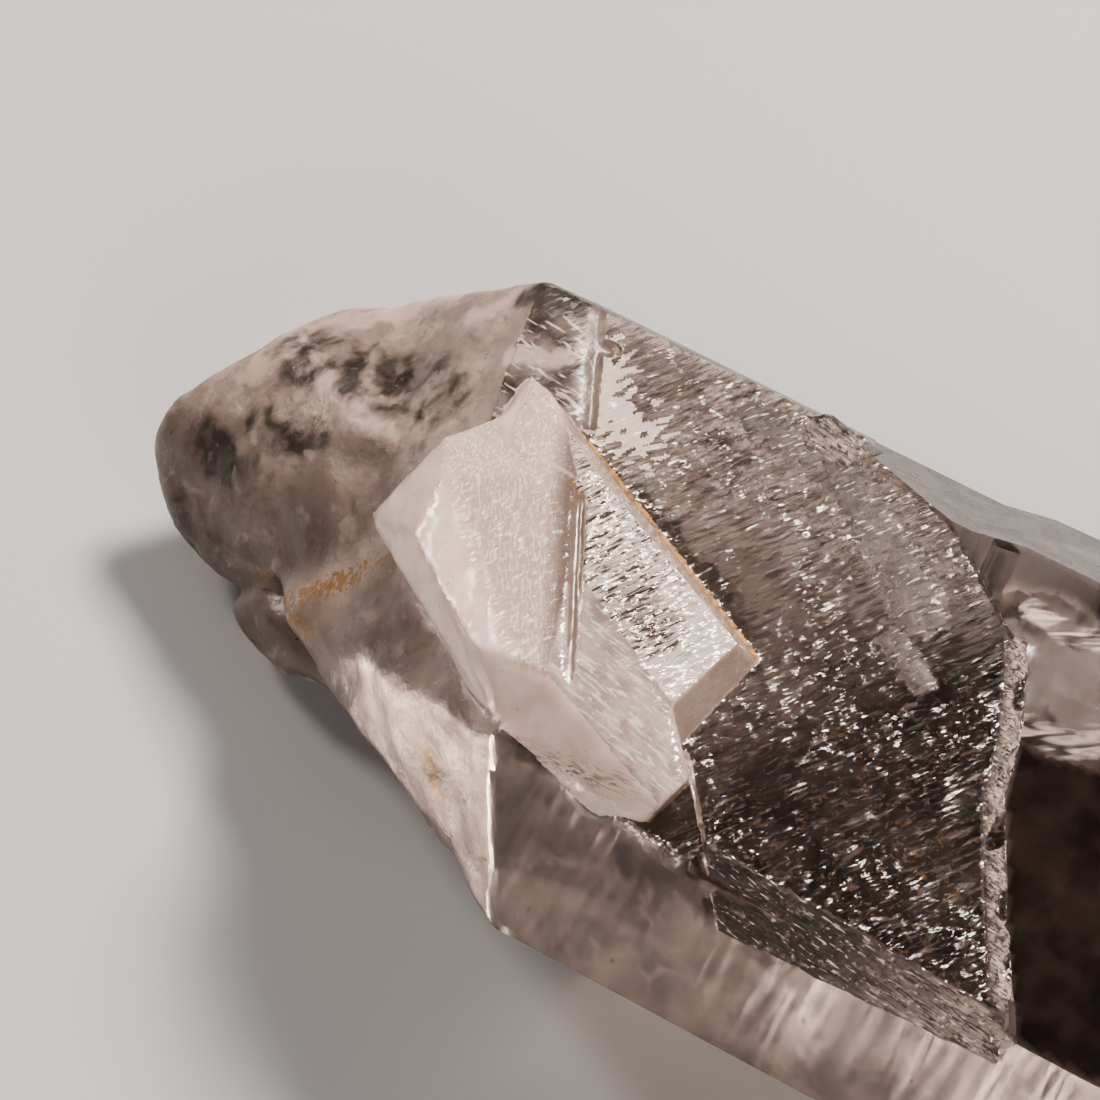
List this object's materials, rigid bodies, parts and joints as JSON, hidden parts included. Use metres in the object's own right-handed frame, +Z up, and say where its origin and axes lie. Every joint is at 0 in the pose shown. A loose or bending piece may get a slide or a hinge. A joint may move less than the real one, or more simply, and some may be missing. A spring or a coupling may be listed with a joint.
{
  "type": "lemurian quartz point",
  "caption": "Clear quartz crystal lying on one prism face, with a worn base, a faceted point, an etched plate and a small milky crystal grown on it.",
  "frame": {"origin": "centre of the bounding box, on the surface that the crystal lies on", "axes": "+X along the crystal from its base to its point, +Z up out of the surface it lies on"},
  "size_m": [0.102, 0.0426, 0.0291],
  "materials": {
    "quartz": "clear to milky quartz, etched above, with iron stain in the cracks"
  },
  "bodies": {
    "root": {"crystal": "quartz"}
  },
  "joints": []
}
